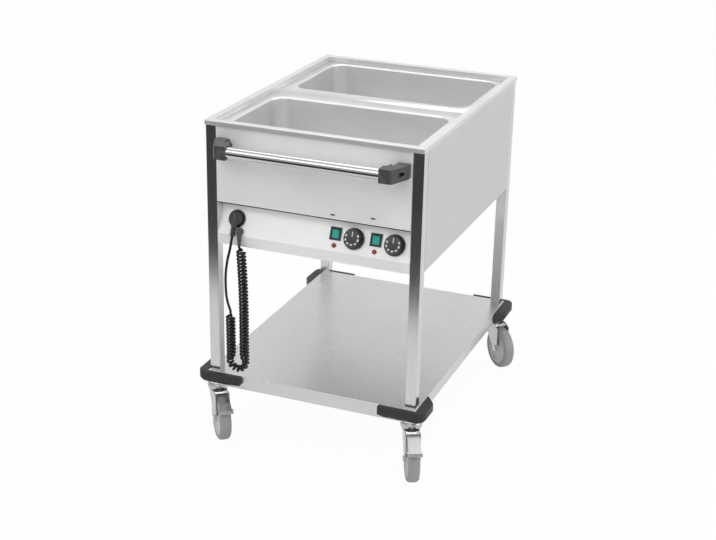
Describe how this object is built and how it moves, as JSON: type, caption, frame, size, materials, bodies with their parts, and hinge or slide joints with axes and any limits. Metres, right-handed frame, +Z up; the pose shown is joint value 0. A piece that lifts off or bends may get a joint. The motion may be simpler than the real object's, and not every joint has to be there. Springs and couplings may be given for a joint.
{
  "type": "hostess trolley",
  "caption": "Electric hot-food trolley: stainless cabinet with pan wells, push handle, sloping control panel, curly mains cord, lower shelf and braked swivel casters.",
  "frame": {"origin": "on the floor under the middle of the trolley's outline over the casters, which is 12 mm in front of the cabinet's middle", "axes": "+Z up, +Y from the handle side to the rear (the long way of the trolley), +X to the right of a person facing the controls"},
  "size_m": [0.7294, 0.9436, 0.9],
  "materials": {
    "brushed_steel": "satin, grained",
    "well_steel": "bright, fine grain",
    "black_moulding": "moulded, matt",
    "polished_tube": "polished",
    "zinc_plate": "zinc plated",
    "chrome_race": "bright plated",
    "grey_tyre": "matt rubber",
    "grey_hub": "moulded, satin",
    "socket_plastic": "semi-gloss",
    "plug_rubber": "satin",
    "gland_rubber": "satin",
    "cord_jacket": "satin",
    "green_rocker": "translucent, glossy",
    "lamp_lens": "translucent, glossy",
    "knob_plastic": "moulded, matt",
    "thermostat_case": "moulded",
    "heater_sheath": "dull sheath"
  },
  "bodies": {
    "frame": {"post_front_right": "brushed_steel", "post_front_left": "brushed_steel", "post_rear_right": "brushed_steel", "post_rear_left": "brushed_steel", "top_rim": "brushed_steel", "well_front": "well_steel", "well_rear": "well_steel", "front_panel": "brushed_steel", "control_panel": "brushed_steel", "side_panel_right": "brushed_steel", "side_panel_left": "brushed_steel", "rear_panel": "brushed_steel", "bottom_panel": "brushed_steel", "lower_shelf": "brushed_steel", "bumper_front_right": "black_moulding", "bumper_front_left": "black_moulding", "bumper_rear_right": "black_moulding", "bumper_rear_left": "black_moulding", "handle_tube": "polished_tube", "handle_bracket_right": "black_moulding", "handle_bracket_left": "black_moulding", "handle_screws": "zinc_plate", "parking_socket": "socket_plastic", "power_plug": "plug_rubber", "cord_gland": "gland_rubber", "cord_lead": "cord_jacket", "cord_curls": "cord_jacket", "switch_frame_left": "socket_plastic", "switch_frame_right": "socket_plastic", "pilot_lamps": "lamp_lens", "thermostats": "thermostat_case", "heating_elements": "heater_sheath", "caster_stem_front_right": "chrome_race", "caster_stem_front_left": "chrome_race", "caster_stem_rear_right": "chrome_race", "caster_stem_rear_left": "chrome_race"},
    "caster_front_right": {"caster_fork_front_right": "zinc_plate", "axle_front_right": "zinc_plate"},
    "wheel_front_right": {"tyre_front_right": "grey_tyre", "wheel_hub_front_right": "grey_hub"},
    "pedal_right": {"brake_pedal_right": "zinc_plate"},
    "caster_front_left": {"caster_fork_front_left": "zinc_plate", "axle_front_left": "zinc_plate"},
    "wheel_front_left": {"tyre_front_left": "grey_tyre", "wheel_hub_front_left": "grey_hub"},
    "pedal_left": {"brake_pedal_left": "zinc_plate"},
    "caster_rear_right": {"caster_fork_rear_right": "zinc_plate", "axle_rear_right": "zinc_plate"},
    "wheel_rear_right": {"tyre_rear_right": "grey_tyre", "wheel_hub_rear_right": "grey_hub"},
    "caster_rear_left": {"caster_fork_rear_left": "zinc_plate", "axle_rear_left": "zinc_plate"},
    "wheel_rear_left": {"tyre_rear_left": "grey_tyre", "wheel_hub_rear_left": "grey_hub"},
    "knob_left": {"knob_left": "knob_plastic", "thermostat_spindle_left": "zinc_plate"},
    "rocker_left": {"rocker_left": "green_rocker"},
    "knob_right": {"knob_right": "knob_plastic", "thermostat_spindle_right": "zinc_plate"},
    "rocker_right": {"rocker_right": "green_rocker"}
  },
  "joints": [
    {"name": "swivel_front_right", "type": "hinge", "parent": "frame", "child": "caster_front_right", "pos_m": [0.283, -0.36592, 0.14], "axis": [0, 0, 1], "continuous": true},
    {"name": "wheel_spin_front_right", "type": "hinge", "parent": "caster_front_right", "child": "wheel_front_right", "pos_m": [0.30141, -0.40367, 0.0625], "axis": [0.8988, 0.4384, 0], "continuous": true},
    {"name": "brake_pedal_right", "type": "hinge", "parent": "caster_front_right", "child": "pedal_right", "pos_m": [0.30492, -0.41086, 0.132], "axis": [0.8988, 0.4384, 0], "range_deg": [0, 10]},
    {"name": "swivel_front_left", "type": "hinge", "parent": "frame", "child": "caster_front_left", "pos_m": [-0.283, -0.36592, 0.14], "axis": [0, 0, 1], "continuous": true},
    {"name": "wheel_spin_front_left", "type": "hinge", "parent": "caster_front_left", "child": "wheel_front_left", "pos_m": [-0.25685, -0.39879, 0.0625], "axis": [0.7826, 0.6225, 0], "continuous": true},
    {"name": "brake_pedal_left", "type": "hinge", "parent": "caster_front_left", "child": "pedal_left", "pos_m": [-0.25187, -0.40505, 0.132], "axis": [0.7826, 0.6225, 0], "range_deg": [0, 10]},
    {"name": "swivel_rear_right", "type": "hinge", "parent": "frame", "child": "caster_rear_right", "pos_m": [0.283, 0.39008, 0.14], "axis": [0, 0, 1], "continuous": true},
    {"name": "wheel_spin_rear_right", "type": "hinge", "parent": "caster_rear_right", "child": "wheel_rear_right", "pos_m": [0.3127, 0.36039, 0.0625], "axis": [0.7071, 0.7071, 0], "continuous": true},
    {"name": "swivel_rear_left", "type": "hinge", "parent": "frame", "child": "caster_rear_left", "pos_m": [-0.283, 0.39008, 0.14], "axis": [0, 0, 1], "continuous": true},
    {"name": "wheel_spin_rear_left", "type": "hinge", "parent": "caster_rear_left", "child": "wheel_rear_left", "pos_m": [-0.3127, 0.41978, 0.0625], "axis": [-0.7071, -0.7071, 0], "continuous": true},
    {"name": "knob_turn_left", "type": "hinge", "parent": "frame", "child": "knob_left", "pos_m": [0.112, -0.37379, 0.63611], "axis": [0, 0.9136, -0.4066], "range_deg": [0, 270]},
    {"name": "rocker_press_left", "type": "hinge", "parent": "frame", "child": "rocker_left", "pos_m": [0.0603, -0.36039, 0.63671], "axis": [1, 0, 0], "range_deg": [-14, 0]},
    {"name": "knob_turn_right", "type": "hinge", "parent": "frame", "child": "knob_right", "pos_m": [0.2225, -0.37379, 0.63611], "axis": [0, 0.9136, -0.4066], "range_deg": [0, 270]},
    {"name": "rocker_press_right", "type": "hinge", "parent": "frame", "child": "rocker_right", "pos_m": [0.1708, -0.36039, 0.63671], "axis": [1, 0, 0], "range_deg": [-14, 0]}
  ]
}
